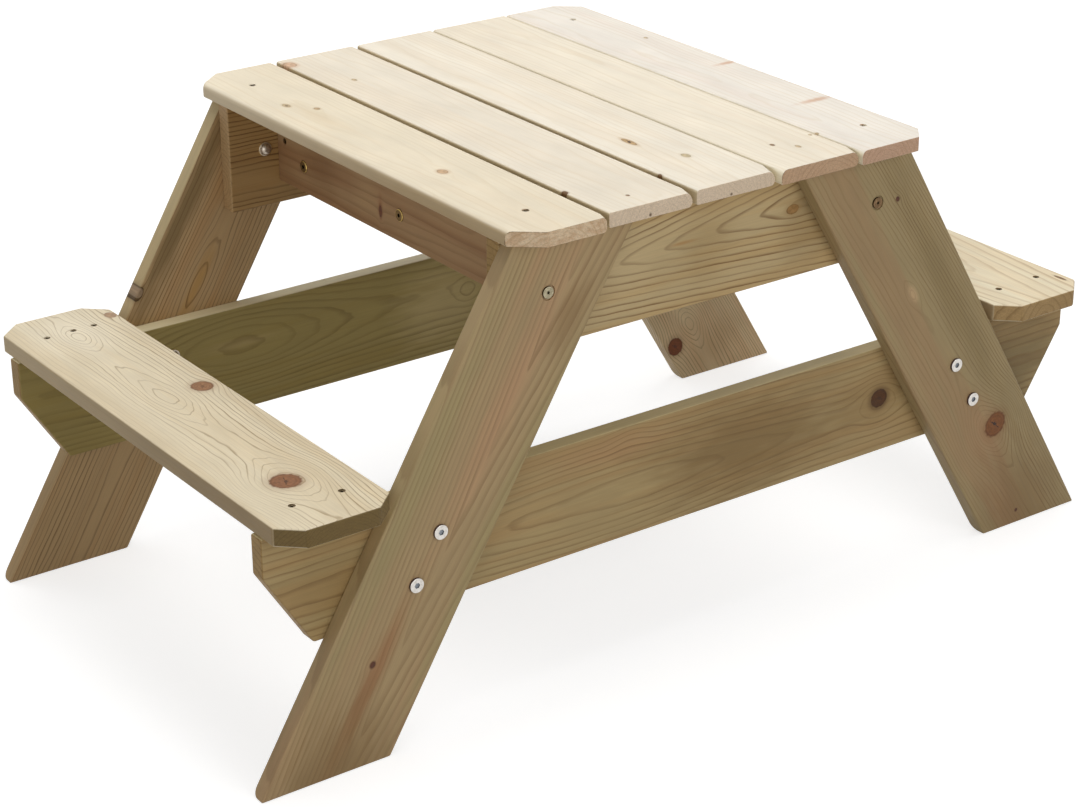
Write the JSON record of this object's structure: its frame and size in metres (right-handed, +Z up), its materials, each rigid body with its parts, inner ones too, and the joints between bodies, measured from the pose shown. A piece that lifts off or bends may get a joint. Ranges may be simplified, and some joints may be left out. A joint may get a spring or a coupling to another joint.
{
  "type": "picnic table with sandbox",
  "caption": "Low wooden picnic table for small children, with a bench on each long side and a shallow sandbox under the lift-off middle of its top.",
  "frame": {"origin": "on the ground, midway between the four feet", "axes": "+X along the planks and benches towards the front frame, +Y from the left bench to the right bench, +Z up"},
  "size_m": [0.604, 1.0564, 0.5],
  "materials": {
    "pale_wood": "planed softwood, pale cream, fine satin with eased edges",
    "frame_wood": "planed and pressure-treated softwood, olive brown, matte",
    "box_wood": "planed and pressure-treated softwood, reddish brown, matte",
    "plywood": "thin plywood, bare, matte",
    "zinc_steel": "bright zinc plate",
    "yellow_zinc": "yellow passivated zinc plate"
  },
  "bodies": {
    "table": {"bench_rail_front": "frame_wood", "bench_rail_back": "frame_wood", "leg_front_left": "frame_wood", "leg_front_right": "frame_wood", "leg_back_left": "frame_wood", "leg_back_right": "frame_wood", "leg_bolt_front_left_top": "zinc_steel", "leg_bolt_front_left_upper": "zinc_steel", "leg_bolt_front_left_lower": "zinc_steel", "leg_bolt_front_right_top": "zinc_steel", "leg_bolt_front_right_upper": "zinc_steel", "leg_bolt_front_right_lower": "zinc_steel", "leg_bolt_back_left_top": "zinc_steel", "leg_bolt_back_left_upper": "zinc_steel", "leg_bolt_back_left_lower": "zinc_steel", "leg_bolt_back_right_top": "zinc_steel", "leg_bolt_back_right_upper": "zinc_steel", "leg_bolt_back_right_lower": "zinc_steel", "leg_nut_front_left_top": "zinc_steel", "leg_nut_front_left_upper": "zinc_steel", "leg_nut_front_left_lower": "zinc_steel", "leg_nut_front_right_top": "zinc_steel", "leg_nut_front_right_upper": "zinc_steel", "leg_nut_front_right_lower": "zinc_steel", "leg_nut_back_left_top": "zinc_steel", "leg_nut_back_left_upper": "zinc_steel", "leg_nut_back_left_lower": "zinc_steel", "leg_nut_back_right_top": "zinc_steel", "leg_nut_back_right_upper": "zinc_steel", "leg_nut_back_right_lower": "zinc_steel", "seat_left": "pale_wood", "seat_right": "pale_wood", "sandbox_floor": "plywood", "sandbox_end_front": "frame_wood", "sandbox_end_back": "frame_wood", "sandbox_side_left": "box_wood", "sandbox_side_right": "box_wood", "floor_ledger_left": "box_wood", "floor_ledger_right": "box_wood", "ledger_screw_left_front": "yellow_zinc", "ledger_screw_left_middle": "yellow_zinc", "ledger_screw_left_back": "yellow_zinc", "ledger_screw_right_front": "yellow_zinc", "ledger_screw_right_middle": "yellow_zinc", "ledger_screw_right_back": "yellow_zinc", "corner_block_front_left": "box_wood", "corner_block_front_right": "box_wood", "corner_block_back_left": "box_wood", "corner_block_back_right": "box_wood", "corner_screw_front_left": "yellow_zinc", "corner_screw_front_right": "yellow_zinc", "corner_screw_back_left": "yellow_zinc", "corner_screw_back_right": "yellow_zinc", "table_plank_left": "pale_wood", "table_plank_right": "pale_wood"},
    "lid": {"lid_plank_left": "pale_wood", "lid_plank_middle": "pale_wood", "lid_plank_right": "pale_wood", "lid_cleat_front": "pale_wood", "lid_cleat_back": "pale_wood"}
  },
  "joints": [
    {"name": "lid_lift", "type": "slide", "parent": "table", "child": "lid", "axis": [0, 0, 1], "range_m": [0, 0.2]}
  ]
}
